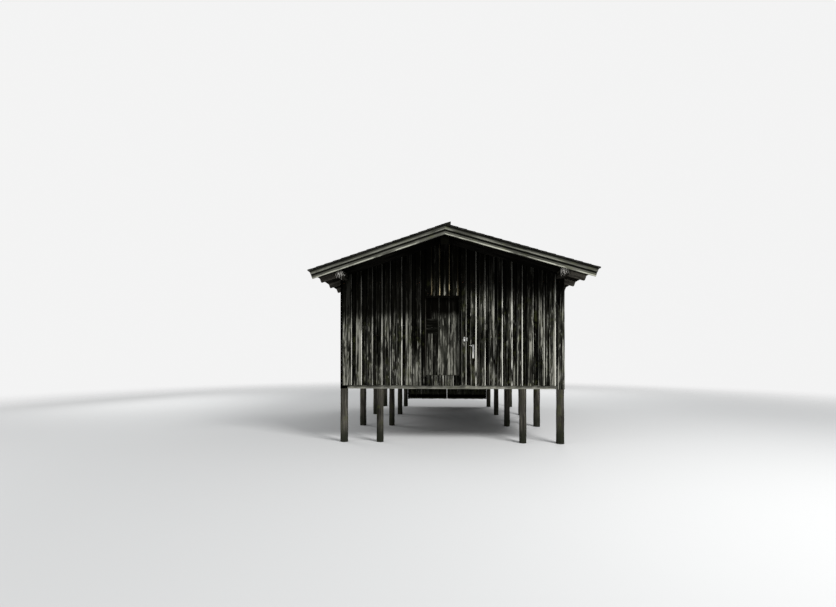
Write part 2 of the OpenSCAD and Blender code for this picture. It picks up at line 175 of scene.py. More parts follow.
class Timberwork:
    """Collects boards and other timbers in one mesh, each with its own tone and worn edges, painted shade in
    its creases, and weathering with painted shade under the roof.
    """

    def __init__(self, name, seed):
        self.name = name
        self.mesh = bmesh.new()
        self.values = {key: self.mesh.verts.layers.float.new(key) for key in POINT_VALUES}
        self.random = random.Random(seed)

    def point(self, place, **values):
        vertex = self.mesh.verts.new(place)
        for key, value in values.items():
            vertex[self.values[key]] = value
        return vertex

    def tube(self, rings):
        """Closes rings of points into one solid."""
        for a, b in zip(rings, rings[1:]):
            for i in range(len(a)):
                j = (i + 1) % len(a)
                self.mesh.faces.new((a[i], a[j], b[j], b[i]))
        self.mesh.faces.new(rings[0][::-1])
        self.mesh.faces.new(rings[-1])

    def board(self, start, along, across, length, width, thick, tone=0.5, worn=(0.25, 0.5), dirt=(0, 0),
              bands=(0.008, 0.008), covered=(0, 0), warm=0.0, chamfer=0.002, hollow=0.0012, steps=6,
              drift=0.002, first=None, last=None, shelter=None):
        """Lays a board with its back at start, running along, and facing across x along.

        worn and the painted shade of the creases are given for the left and the right edge, and fade over the
        width of the bands; the painted shade lies where a board meets those beside it or runs up behind
        another. covered is how much of the face lies under the boards beside it. first and last give how far
        each end is moved along at a distance across.
        """
        out = across.cross(along)
        half = width / 2
        right, left = half - chamfer - covered[1], chamfer + covered[0] - half
        fit = min(1.0, (right - left - 0.006) / (bands[0] + bands[1]))
        right_end, left_end = right - bands[1] * fit, left + bands[0] * fit
        # Points round the board: distance across, height over the back, wear, and painted shade in the creases
        section = (
            (-half, 0, 0, 0),
            (half, 0, 0, 0),
            (half, thick - chamfer, worn[1], dirt[1] * 0.6),
            (half - chamfer, thick, worn[1], dirt[1]),
            (right - 0.4 * bands[1] * fit, thick, worn[1], dirt[1]),
            (right_end, thick, 0, 0),
            ((right_end + left_end) / 2, thick - hollow, 0, 0),
            (left_end, thick, 0, 0),
            (left + 0.4 * bands[0] * fit, thick, worn[0], dirt[0]),
            (chamfer - half, thick, worn[0], dirt[0]),
            (-half, thick - chamfer, worn[0], dirt[0] * 0.6),
        )
        number = self.random.random()
        phase, waves = self.random.uniform(0, 6.28), self.random.uniform(1.1, 2.3)
        rings = []
        for step in range(steps + 1):
            share = step / steps
            shift = drift * math.sin(phase + waves * share * length)
            ring = []
            for a, o, wear, dirty in section:
                low = first(a) if first else 0
                high = length + (last(a) if last else 0)
                place = start + along * (low + (high - low) * share) + across * (a + shift) + out * o
                ring.append(self.point(place, board=number, tone=tone, worn=wear, dirt=dirty, warm=warm,
                                       shelter=shelter(place) if shelter else 0))
            rings.append(ring)
        self.tube(rings)

    def uneven(self, amount, width):
        """A board's end that is a little out of square."""
        tilt = self.random.uniform(-amount, amount) / width
        rest = self.random.uniform(-amount, amount) / 2
        return lambda a: a * tilt + rest

    def finish(self, material, body, slot, *nodes):
        """Makes the piece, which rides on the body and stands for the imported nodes."""
        bmesh.ops.recalc_face_normals(self.mesh, faces=self.mesh.faces)
        piece = mesh_object(self.name, self.mesh, material)
        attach(piece, body)
        if nodes:
            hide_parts(*nodes)


# Finishes


def times(colour, factor):
    """The colour, darker or paler by a factor."""
    return tuple(min(1.0, c * factor) for c in colour)


class Nodes:
    """The nodes of a material or of the world, added one by one with what goes into their sockets."""

    def __init__(self, owner):
        owner.use_nodes = True
        self.tree = owner.node_tree
        self.tree.nodes.clear()

    def add(self, kind, sockets=(), output=0, **settings):
        """Gives one output of a new node. Another node's output is linked to a socket, and a value is set."""
        node = self.tree.nodes.new(kind)
        for key, value in settings.items():
            setattr(node, key, value)
        for key, value in dict(sockets).items():
            if isinstance(value, bpy.types.NodeSocket):
                self.tree.links.new(value, node.inputs[key])
            else:
                node.inputs[key].default_value = value
        return node.outputs[output] if len(node.outputs) else None


class Finish(Nodes):
    """A material whose nodes are added by what they do."""

    def __init__(self, name):
        self.material = bpy.data.materials.new(name)
        super().__init__(self.material)
        where = self.tree.nodes.new("ShaderNodeTexCoord")
        self.place, self.normal = where.outputs["Object"], where.outputs["Normal"]

    def value(self, name):
        return self.add("ShaderNodeAttribute", output="Fac", attribute_name=name)

    def math(self, operation, a, b=0.0):
        return self.add("ShaderNodeMath", {0: a, 1: b}, operation=operation)

    def sum(self, first, *others):
        for other in others:
            first = self.math("ADD", first, other)
        return first

    def product(self, a, b):
        return self.math("MULTIPLY", a, b)

    def triple(self, a, b, c):
        return self.add("ShaderNodeCombineXYZ", {0: a, 1: b, 2: c})

    def part(self, triple, number):
        """The first, second or third value of a triple, numbered from 0."""
        return self.add("ShaderNodeSeparateXYZ", {0: triple}, number)

    def vector(self, operation, a, b=(0, 0, 0), output=0):
        return self.add("ShaderNodeVectorMath", {0: a, 1: b}, output, operation=operation)

    def scaled(self, a, factor):
        return self.add("ShaderNodeVectorMath", {0: a, "Scale": factor}, operation="SCALE")

    def noise(self, place, scale, detail=4.0, roughness=0.55, distortion=0.0):
        return self.add("ShaderNodeTexNoise", {"Vector": place, "Scale": scale, "Detail": detail,
                                               "Roughness": roughness, "Distortion": distortion}, "Fac")

    def cells(self, place, scale):
        """Distance to the nearest of many points that lie about evenly."""
        return self.add("ShaderNodeTexVoronoi", {"Vector": place, "Scale": scale}, "Distance")

    def between(self, value, low, high, start=0.0, end=1.0):
        """start up to low, end from high on, and a smooth change in between."""
        return self.add("ShaderNodeMapRange", {
            "Value": value, "From Min": low, "From Max": high, "To Min": start, "To Max": end,
        }, interpolation_type="SMOOTHSTEP")

    def mix(self, share, a, b):
        def colour(c):
            return c if isinstance(c, bpy.types.NodeSocket) else (*c, 1.0)
        return self.add("ShaderNodeMix", {0: share, 6: colour(a), 7: colour(b)}, 2, data_type="RGBA")

    def shade(self, colour, roughness, height, depth, strength, metallic=0.0, specular=0.3):
        bump = self.add("ShaderNodeBump", {
            "Height": height, "Distance": depth, "Strength": strength,
        }, "Normal")
        surface = self.add("ShaderNodeBsdfPrincipled", {
            "Base Color": colour, "Roughness": roughness, "Metallic": metallic,
            "Specular IOR Level": specular, "Normal": bump,
        })
        self.add("ShaderNodeOutputMaterial", {"Surface": surface})
        return self.material


def weathered_wood(name, dark, middle, pale, grain=(0, 0, 1), other_grain=None, other_from=0.0, streak=24.0,
                   contrast=1.0, stretch=0.05, sheltered=(0.0022, 0.002, 0.0016), shelter_share=0.94,
                   knots=0.6, cracks=0.7, green=0.0, damp=None, bleach=None, end=(0.17, 0.16, 0.14),
                   edge_wear=None, flank=1.0):
    """Old wood with grain along one direction: streaks, cracks, knots, worn edges and damp parts, with painted
    shade in creases and, mixed with weathering, under the roof.

    other_grain is the grain where the distance from the middle of the hut is more than other_from. bleach
    is (height, height, amount): the wood is paler by nothing at the first height and by the whole amount at the
    second, and darker where the amount is below 0. damp is (height, height, colour): that colour up to the
    first height, and none of it from the second on. end is the colour of the end grain, edge_wear that of the
    worn edges, and flank how light the sides of a shingle are; below 1 it darkens them with painted shade and
    weathering.
    sheltered and shelter_share are the colour and share of the weathering and painted
    shade under the roof.
    """
    f = Finish(name)
    place = f.vector("ADD", f.place, f.scaled(f.triple(17.3, 9.1, 23.7), f.value("board")))
    direction = f.triple(*grain)
    if other_grain is not None:
        beyond = f.math("GREATER_THAN", f.math("ABSOLUTE", f.part(f.place, 0)), other_from)
        direction = f.add("ShaderNodeMix", {0: beyond, 4: direction, 5: other_grain}, 1, data_type="VECTOR")
    along = f.vector("DOT_PRODUCT", place, direction, "Value")

    def drawn_out(share):
        """The place, with its way along the grain shortened to that share, which draws a noise out."""
        return f.vector("SUBTRACT", place, f.scaled(direction, f.product(along, 1 - share)))

    # Streaks, cracks and knots
    wander = f.noise(drawn_out(0.25), 2.2, 2.0)
    long_grain = f.vector("ADD", drawn_out(stretch), f.scaled(f.triple(0.02, 0.02, 0.02), wander))
    streaks = f.noise(long_grain, streak, 6.0, 0.62)
    fine = f.noise(long_grain, streak * 7, 3.0, 0.6)
    blotches = f.noise(drawn_out(0.2), 5.0, 4.0, 0.6)
    line = f.math("ABSOLUTE", f.math("SUBTRACT", f.noise(long_grain, streak * 1.4, 1.0), 0.5))
    cracked = f.between(f.noise(drawn_out(0.4), 3.1), 0.48, 0.6)
    split = f.product(f.product(f.between(line, 0.012, 0.0), cracked), cracks)
    knot = f.product(f.between(f.cells(drawn_out(0.4), 3.4), 0.085, 0.03), knots)

    # How pale the wood is, and its three tones
    amount = f.sum(f.product(streaks, 0.8), f.product(fine, 0.2),
                   f.product(f.math("SUBTRACT", blotches, 0.5), 0.45),
                   f.product(f.math("SUBTRACT", f.value("tone"), 0.5), 0.2))
    height = f.part(f.place, 2)
    if bleach:
        amount = f.sum(amount, f.between(height, bleach[0], bleach[1], 0.0, bleach[2]))
    amount = f.sum(amount, f.between(f.noise(drawn_out(0.13), streak, 2.0, 0.5), 0.57, 0.67, 0.0, 0.1))
    spread = 0.17 / contrast
    colour = f.mix(f.between(amount, 0.5 - spread, 0.52), dark, middle)
    colour = f.mix(f.between(amount, 0.52, 0.5 + spread), colour, pale)
    if green:
        moss = f.product(f.between(f.noise(place, 5.0, 5.0, 0.7), 0.5, 0.68), green)
        colour = f.mix(moss, colour, (0.085, 0.095, 0.03))

    # Weathering and painted shade under the roof, worn edges, painted shade in the creases, knots and cracks
    edge_noise = f.product(f.math("SUBTRACT", f.noise(drawn_out(0.5), 7.0), 0.5), 0.5)
    # Under the roof the wood darkens to near black: partly weathering, partly painted shade of the overhang
    shelter = f.between(f.sum(f.value("shelter"), edge_noise), 0.15, 0.8, 0.0, shelter_share)
    colour = f.mix(shelter, colour, sheltered)
    worn = f.product(f.value("worn"), f.between(f.noise(drawn_out(0.2), 9.0), 0.36, 0.58))
    # Worn edges fade where the painted shade under the roof lies
    worn = f.product(worn, f.between(shelter, 0.0, 1.0, 1.0, 0.08))
    bare = edge_wear or times(pale, 2.5)
    colour = f.mix(worn, colour, f.mix(f.value("warm"), bare, (0.36, 0.23, 0.02)))
    # Painted shade in the creases where boards meet or run up behind one another
    colour = f.mix(f.product(f.value("dirt"), 0.95), colour, times(dark, 0.5))
    colour = f.mix(knot, colour, times(dark, 0.35))
    colour = f.mix(split, colour, times(dark, 0.2))
    if damp:
        low, high, wet_colour = damp
        wet = f.between(f.sum(height, f.product(blotches, 0.3)), high + 0.15, low + 0.15)
        colour = f.mix(f.product(wet, 0.8), colour, wet_colour)

    # Rings on the end grain, and the sides of shingles darkened with painted shade and weathering
    facing = f.math("ABSOLUTE", f.vector("DOT_PRODUCT", f.normal, direction, "Value"))
    rings = f.between(f.noise(place, 55.0, 4.0, 0.7, 1.5), 0.4, 0.6)
    ring_colour = f.mix(rings, times(end, 0.35), end)
    colour = f.mix(f.product(f.between(facing, 0.8, 0.93), 0.85), colour, ring_colour)
    # The shingles' sides that face along the ridge darken: painted shade with their weathering
    if flank < 1:
        side_on = f.between(f.math("ABSOLUTE", f.part(f.normal, 1)), 0.6, 0.9, 0.0, 1 - flank)
        colour = f.mix(side_on, colour, times(dark, 0.1))

    relief = f.sum(f.product(streaks, 0.6), f.product(fine, 0.35))
    relief = f.math("SUBTRACT", relief, f.product(split, 0.9))
    relief = f.math("SUBTRACT", relief, f.product(knot, 0.25))
    roughness = f.between(amount, 0.3, 0.7, 0.74, 0.96)
    return f.shade(colour, roughness, relief, 0.006, 0.8, specular=0.0)


def forged_iron(name, rust):
    """Dark iron with a skin of rust."""
    f = Finish(name)
    patches = f.noise(f.place, 14.0, 6.0, 0.7)
    pits = f.noise(f.place, 160.0, 3.0, 0.6)
    colour = f.mix(f.between(patches, 0.4, 0.62), (0.018, 0.016, 0.015), rust)
    colour = f.mix(f.between(pits, 0.55, 0.72), colour, times(rust, 0.4))
    metal = f.between(patches, 0.45, 0.6, 0.3, 0.0)
    return f.shade(colour, f.between(pits, 0.3, 0.7, 0.6, 0.9), pits, 0.001, 0.5, metal, 0.15)


def zinc_steel(name, base):
    """Pale galvanised steel with dull patches and fine scratches."""
    f = Finish(name)
    spangle = f.cells(f.place, 130.0)
    scratches = f.noise(f.vector("MULTIPLY", f.place, (1, 1, 0.06)), 900.0, 2.0)
    dull = f.noise(f.place, 40.0, 4.0, 0.65)
    colour = f.mix(f.between(dull, 0.45, 0.65), base, times(base, 0.55))
    colour = f.mix(f.product(f.between(spangle, 0.2, 0.5), 0.25), colour, times(base, 0.8))
    return f.shade(colour, f.between(scratches, 0.3, 0.7, 0.32, 0.55), scratches, 0.0004, 0.3, 0.75)


def plain_ground(name, colour, clear_from, clear_to):
    """The studio floor, which takes the hut's shadow and fades into the backdrop far out."""
    f = Finish(name)
    mottle = f.noise(f.place, 0.6, 3.0)
    matt = f.add("ShaderNodeBsdfDiffuse", {
        "Color": f.mix(f.product(mottle, 0.06), colour, times(colour, 0.9)),
    })
    far = f.between(f.vector("LENGTH", f.place, output="Value"), clear_from, clear_to)
    surface = f.add("ShaderNodeMixShader", {0: far, 1: matt, 2: f.add("ShaderNodeBsdfTransparent")})
    f.add("ShaderNodeOutputMaterial", {"Surface": surface})
    return f.material


# Sizes and colours


def length(name, description, default):
    return FloatProperty(name=name, description=description, default=default, min=0.001, max=2.0,
                         subtype="DISTANCE", unit="LENGTH", precision=4)


def tint(name, description, default):
    return FloatVectorProperty(name=name, description=description, default=default, size=3, min=0.0, max=1.0,
                               subtype="COLOR")


class BoathouseSizes(bpy.types.PropertyGroup):
    """Sizes of what is laid over the frame."""

    under_t: length("Under board", "Thickness of the boards behind the cover boards", 0.022)
    cover_w: length("Cover board", "Usual width of a cover board", 0.140)
    cover_pitch: length("Cover pitch", "Distance between cover boards on the sides and the back", 0.235)
    corner_w: length("Corner board", "Width of a corner board on the side walls", 0.200)
    plank_w: length("Plank", "Width of a floor plank", 0.175)
    deck_w: length("Roof board", "Width of a roof board", 0.185)
    shingle_l: length("Shingle length", "Length of a split shingle", 0.600)
    shingle_w: length("Shingle width", "Usual width of a split shingle", 0.125)
    exposure: length("Exposure", "Length of a shingle that shows", 0.200)
    nail_r: length("Nail head", "Radius of a nail head", 0.0045)
    ends: length("Uneven ends", "How far board ends are out of line", 0.012)
    straws: IntProperty(name="Straws", description="Straws in the nest on each plate end", default=26, min=0)


class BoathouseColours(bpy.types.PropertyGroup):
    """Colours of the finishes."""

    wall_dark: tint("Wall, dark", "Darkest streaks of the wall boards", (0.0018, 0.0018, 0.0014))
    wall_middle: tint("Wall", "Wall boards between the streaks", (0.026, 0.026, 0.021))
    wall_pale: tint("Wall, pale", "Silvered streaks of the wall boards", (0.240, 0.236, 0.200))
    barge: tint("Bargeboards", "Weathered grey-green of the bargeboards", (0.060, 0.060, 0.050))
    frame: tint("Frame", "Sawn frame timber", (0.040, 0.037, 0.031))
    shingle: tint("Shingles", "Weathered split shingles", (0.105, 0.102, 0.090))
    plank: tint("Planks", "Floor planks", (0.200, 0.185, 0.155))
    rust: tint("Rust", "Rust on the iron", (0.120, 0.048, 0.020))
    zinc: tint("Steel", "Galvanised steel of the lock", (0.720, 0.720, 0.700))
    ground: tint("Ground", "Studio floor", (0.640, 0.640, 0.635))


def sizes():
    return bpy.context.scene.boathouse_sizes


def colours():
    return bpy.context.scene.boathouse_colours


# The hut's own finishes

FINISHES = {}


def made_once(name, make, *values, **how):
    """The finish of that name, which make gives it on its first use."""
    if name not in FINISHES:
        FINISHES[name] = make(f"finish_{name}", *values, **how)
    return FINISHES[name]


def wood_finish(name, base, dark, middle, pale, *grain, **how):
    """Weathered wood whose three tones are shares of the base colour."""
    return made_once(name, weathered_wood, times(base, dark), times(base, middle), times(base, pale),
                     *grain, **how)


def board_finish(name, dark, middle, pale, **how):
    """Weathered boards whose three tones are shares of those of the walls."""
    c = colours()
    return made_once(name, weathered_wood, times(c.wall_dark, dark), times(c.wall_middle, middle),
                     times(c.wall_pale, pale), **how)


def wall_finish():
    # The pale worn-edge colour also carries the painted highlights on the boards' right-hand edges; the boards
    # grow a little paler towards their foot
    return board_finish("wall_boards", 1, 1, 1, streak=31.0, contrast=1.7, stretch=0.028, green=0.2,
                        bleach=(2.9, 1.5, 0.03), end=(0.035, 0.033, 0.028), edge_wear=(0.62, 0.61, 0.54))


def frame_finish(name, *grain, shade=1.0, **how):
    """Sawn timber of the frame, darker or paler by shade."""
    return wood_finish(name, times(colours().frame, shade), 0.35, 1, 2.1, *grain, streak=16.0, **how)


def iron_finish():
    return made_once("forged_iron", forged_iron, tuple(colours().rust))


# Walls

NAILS = []  # places and directions of the nail heads, noted as the walls are laid


def front_shelter(place):
    """1 under the roof and 0 on the open wall: weathering and painted shade of the overhang, reaching lower on
    the left of the gable, as if lit from the right.
    """
    low, reach = (2.62, 0.66) if place.x < RIDGE_X else (2.76, 1.3)
    return min(1.0, max(0.0, (place.z - low) / reach))


def side_shelter(place):
    """1 at the eaves, and 0 from 0.9 m below them: weathering and painted shade under the eaves."""
    return max(0.0, 1.0 - (SIDE_TOP[LEFT] - place.z) / 0.9)


def lay_cladding(work, origin, across, left, right, bottom, top, edges, shelter=None, tone=0.4, warm=0.0,
                 rows=(), worn_and_lit_edges=(), corner=None):
    """Boards with cover boards over their joints, between left and right on the wall face at origin.

    edges are the right-hand edges of the cover boards, each alone or, for a corner board, as a pair of its
    left and right edge. rows are the heights at which they are nailed. worn_and_lit_edges are those of the
    right-hand edges that are palest: worn, and with a painted highlight as if lit from the right. Boards that
    reach the hut's corner, which lies at corner across, stand on the pile heads.
    """
    s = sizes()
    rng = work.random
    out = across.cross(Z)
    covers, before = [], left
    for edge in edges:
        if isinstance(edge, tuple):
            covers.append(edge)
        else:
            covers.append((edge - min(s.cover_w * rng.uniform(0.86, 1.14), edge - before - 0.035), edge))
        before = covers[-1][1]
    joints = [left] + [(a + b) / 2 for a, b in covers if left + 0.07 < (a + b) / 2 < right - 0.07] + [right]

    def put(a0, a1, raise_by, thick, low, **how):
        middle, width = (a0 + a1) / 2, a1 - a0
        start = origin + across * middle + out * raise_by + Z * low

        def cut_top(a):
            return top(middle + a) - top(middle)
        work.board(start, Z, across, top(middle) - low, width, thick, warm=warm, last=cut_top,
                   shelter=shelter, first=work.uneven(s.ends, width), **how)

    for a0, a1 in zip(joints, joints[1:]):
        gap = rng.uniform(0.001, 0.004)
        low = bottom + rng.uniform(0.004, 0.014)
        if corner in (-a0, a1):
            low = CORNER_FOOT
        under_left = 0.01 + max([b - a0 - gap for a, b in covers if a <= a0 + gap < b] + [0.0])
        under_right = 0.006 + max([a1 - gap - a for a, b in covers if a < a1 - gap <= b] + [0.0])
        # The under boards are a darker tone, partly their own wood and partly painted shade of the recess, with
        # painted shade in the creases along the cover boards
        put(a0 + gap, a1 - gap, 0.0, s.under_t * rng.uniform(0.86, 1.0), low,
            tone=rng.uniform(tone - 0.35, tone), worn=(0, 0), dirt=(1, 1),
            bands=(rng.uniform(0.02, 0.035), rng.uniform(0.012, 0.025)), covered=(under_left, under_right),
            drift=0.0, hollow=0.0008)
    cover_t = WALL_X - FRAME_X - s.under_t
    for a0, a1 in covers:
        low = bottom + rng.uniform(0.006, 0.016)
        if corner in (-a0, a1):
            low = CORNER_FOOT
        # Every cover's right-hand edge is paler than its left, the listed ones most: partly wear, partly a
        # painted highlight as if lit from the right
        pale = 1.5 if a1 in worn_and_lit_edges else rng.uniform(0.15, 0.7)
        shade = rng.gauss(tone, 0.14)
        if (a0, a1) in edges:
            shade, pale = (0.6, 1.0) if a0 < 0 else (0.35, 0.4)
        put(a0, a1, s.under_t, cover_t * rng.uniform(0.86, 1.0), low, tone=shade,
            worn=(rng.uniform(0, 0.3), pale), bands=(0.006, rng.uniform(0.014, 0.03)), steps=8, drift=0.0018,
            hollow=0.0016)
        for row in rows:
            if row < top((a0 + a1) / 2) - 0.03:
                for a in (a0 + 0.03, a1 - 0.03):
                    spot = origin + across * (a + rng.uniform(-0.006, 0.006)) + out * (s.under_t + cover_t)
                    NAILS.append((spot + Z * (row + rng.uniform(-0.012, 0.012)), out))


def even_edges(left, right, pitch, width, rng):
    """Right-hand edges of cover boards laid by eye between left and right."""
    count = max(1, round((right - left) / pitch))
    step = (right - left) / count
    return [left + step * (i + 0.5) + width / 2 + rng.uniform(-0.012, 0.012) for i in range(count)]


class BOATHOUSE_OT_front_wall(bpy.types.Operator):
    """Board the door gable: the wall on both sides of the door, the gable over it and the apron below it"""

    bl_idname = "boathouse.front_wall"
    bl_label = "Door gable boards"

    def execute(self, context):
        face = Vector((0, -FRAME_Y, 0))
        rows = (LOW_NAILS, RAIL_NAILS, GABLE_NAILS)
        # The left of the gable gets a darker tone than the right: partly the boards' own tone, partly painted
        # shade as if lit from the right
        for name, seed, left, right, edges, tone, node in (
            ("front_boards_left", 11, -WALL_X, DOOR_LEFT, COVERS_LEFT, 0.2, "front_wall_left"),
            ("front_boards_right", 12, DOOR_RIGHT, WALL_X, COVERS_RIGHT, 0.38, "front_wall_right"),
        ):
            work = Timberwork(name, seed)
            lay_cladding(work, face, X, left, right, SKIRT_Z, gable_top, edges, front_shelter, tone,
                         rows=rows, worn_and_lit_edges=WORN_AND_LIT_EDGES, corner=WALL_X)
            work.finish(wall_finish(), "hut", "wall_boards", node)
        work = Timberwork("front_boards_gable", 13)
        # Over the door the boards get weathering and painted shade of the overhang, growing towards the top
        lay_cladding(work, face, X, DOOR_LEFT, DOOR_RIGHT, DOOR_TOP, gable_top, COVERS_OVER_DOOR,
                     lambda p: min(1.0, 0.22 + (p.z - DOOR_TOP) / 0.8), 0.18, warm=0.6,
                     rows=(DOOR_TOP + 0.05,), worn_and_lit_edges=WORN_AND_LIT_EDGES)
        work.finish(wall_finish(), "hut", "wall_boards", "front_gable")
        work = Timberwork("front_boards_apron", 14)
        lay_cladding(work, face, X, DOOR_LEFT, DOOR_RIGHT, SKIRT_Z, lambda x: FLOOR_Z, COVERS_BELOW_DOOR,
                     tone=0.25, rows=(LOW_NAILS,))
        work.finish(wall_finish(), "hut", "wall_boards", "door_apron")
        return {"FINISHED"}


class BOATHOUSE_OT_side_walls(bpy.types.Operator):
    """Board the two long walls"""

    bl_idname = "boathouse.side_walls"
    bl_label = "Side wall boards"

    def execute(self, context):
        s = sizes()
        rows = (LOW_NAILS, RAIL_NAILS, SIDE_TOP[LEFT] - 0.08)
        for side, name, seed in ((LEFT, "left", 21), (RIGHT, "right", 22)):
            work = Timberwork(f"side_boards_{name}", seed)
            across = Y * side
            edges = [-FRAME_Y + s.corner_w] + even_edges(-FRAME_Y + s.corner_w, FRAME_Y - s.corner_w,
                                                         s.cover_pitch, s.cover_w, work.random) + [FRAME_Y]
            lay_cladding(work, Vector((side * FRAME_X, 0, 0)), across, -FRAME_Y, FRAME_Y, SKIRT_Z,
                         lambda a, top=SIDE_TOP[side]: top, edges, side_shelter, rows=rows, corner=FRAME_Y)
            work.finish(wall_finish(), "hut", "wall_boards", f"{name}_wall")
        return {"FINISHED"}


class BOATHOUSE_OT_back_wall(bpy.types.Operator):
    """Board the lake gable beside and over the boat gate"""

    bl_idname = "boathouse.back_wall"
    bl_label = "Lake gable boards"

    def execute(self, context):
        s = sizes()
        face = Vector((0, FRAME_Y, 0))
        rows = (LOW_NAILS, RAIL_NAILS, GABLE_NAILS)

        def top(a):
            return gable_top(-a)

        # Weathering and painted shade under the gable's eaves, fading out over 1.2 m below them
        def shelter(place):
            return max(0.0, 1.0 - max(0.0, gable_top(place.x) - 0.12 - place.z) / 1.2)
        for name, seed, left, right, bottom, node in (
            ("back_boards_left", 31, GATE_X, WALL_X, SKIRT_Z, "back_wall_left"),
            ("back_boards_right", 32, -WALL_X, -GATE_X, SKIRT_Z, "back_wall_right"),
            ("back_boards_gable", 33, -GATE_X, GATE_X, GATE_TOP, "back_gable"),
        ):
            work = Timberwork(name, seed)
            edges = even_edges(left, right, s.cover_pitch, s.cover_w, work.random)
            lay_cladding(work, face, -X, left, right, bottom, top, edges, shelter, rows=rows, corner=WALL_X)
            work.finish(wall_finish(), "hut", "wall_boards", node)
        return {"FINISHED"}


class BOATHOUSE_OT_boat_gate(bpy.types.Operator):
    """Board the two leaves of the boat gate, with their ledges"""

    bl_idname = "boathouse.boat_gate"
    bl_label = "Boat gate boards"

    LEDGE_W = 0.13
    # Height of the lower two ledges over the leaf's foot and over the floor, and depth of the third under
    # the leaf's head
    LEDGE_UP = 0.13
    LEDGE_DOWN = 0.26

    def execute(self, context):
        s = sizes()
        for name, seed in (("left", 41), ("right", 42)):
            low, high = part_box(f"boat_gate_{name}")
            work = Timberwork(f"gate_boards_{name}", seed)
            edges = even_edges(-high.x, -low.x, s.cover_pitch, s.cover_w, work.random)
            ledges = (low.z + self.LEDGE_UP, FLOOR_Z + self.LEDGE_UP, GATE_TOP - self.LEDGE_DOWN)
            lay_cladding(work, Vector((0, FRAME_Y, 0)), -X, -high.x, -low.x, low.z, lambda a: high.z, edges,
                         rows=ledges[1:])
            for z in ledges:
                work.board(Vector((low.x + 0.012, FRAME_Y, z)), X, Z, high.x - low.x - 0.024, self.LEDGE_W,
                           FRAME_Y - low.y, tone=0.4, steps=8)
            material = board_finish("gate_boards", 1, 1.15, 1.05, green=0.4,
                                    damp=(0.3, 0.75, (0.045, 0.047, 0.032)))
            work.finish(material, "hut", "gate_boards", f"boat_gate_{name}")
        return {"FINISHED"}


# Door


class BOATHOUSE_OT_door(bpy.types.Operator):
    """Board the door leaf and lay the two boards of its patch"""

    bl_idname = "boathouse.door"
    bl_label = "Door boards"

    # Joints between the boards of the leaf
    JOINTS_X = (-0.44, -0.273, -0.03)
    # Tone of each board of the leaf, and how much its right edge is worn
    LEAF = ((0.14, 0.3), (0.08, 1.0), (0.35, 1.0), (0.45, 0.4))
    # Foot and head of each board of the patch, and how much its head is worn
    PATCH = ((2.60, 2.744, 0.35), (2.748, 2.953, 2.2))
    # Where the patch begins and ends, in from the left edge of the leaf
    PATCH_X = (0.018, 0.296)

    def execute(self, context):
        low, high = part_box("door_leaf")
        edges = (low.x,) + self.JOINTS_X + (high.x,)
        work = Timberwork("door_boards", 51)

        def shelter(place):
            """Painted shade of the door head over the top of the leaf, reaching lowest on its left board."""
            reach = 0.44 if place.x < edges[1] - 0.01 else 0.30
            return max(0.0, 1.0 - max(0.0, high.z - reach - place.z) / 0.32)

        for a, b, (tone, worn) in zip(edges, edges[1:], self.LEAF):
            thick = (high.y - low.y) * work.random.uniform(0.93, 1.0)
            # Each board's left edge gets painted shade in the joint
            work.board(Vector(((a + b) / 2, high.y, low.z)), Z, X, high.z - low.z, b - a - 0.003, thick,
                       tone, (0, worn), (1, 0), (0.014, 0.022), chamfer=0.003, steps=8, drift=0.0005,
                       shelter=shelter)
        old = {"streak": 28.0, "contrast": 1.4, "stretch": 0.03}
        # The near-black at the head of the leaf is painted shade under the door head
        work.finish(board_finish("door_boards", 1.5, 1.1, 0.8, knots=0.25, bleach=(2.9, 1.7, 0.06),
                                 sheltered=(0.0015, 0.0013, 0.001), shelter_share=0.98, **old),
                    "door", "door_boards", "door_leaf")
        patch = Timberwork("door_patch", 52)
        left, right = (low.x + x for x in self.PATCH_X)
        for foot, head, worn in self.PATCH:
            start = Vector((left, low.y + 0.001, (foot + head) / 2))
            # Each patch board gets painted shade along its foot
            patch.board(start, X, Z, right - left, head - foot, 0.011, -0.15, (0, worn), (0.9, 0),
                        (0.04, 0.024), steps=4, drift=0.0008, last=patch.uneven(0.006, 0.1))
        patch.finish(board_finish("door_patch", 1.5, 0.7, 0.5, grain=(1, 0, 0),
                                  edge_wear=times(colours().wall_pale, 2.4), **old), "door", "door_boards")
        return {"FINISHED"}


# Roof


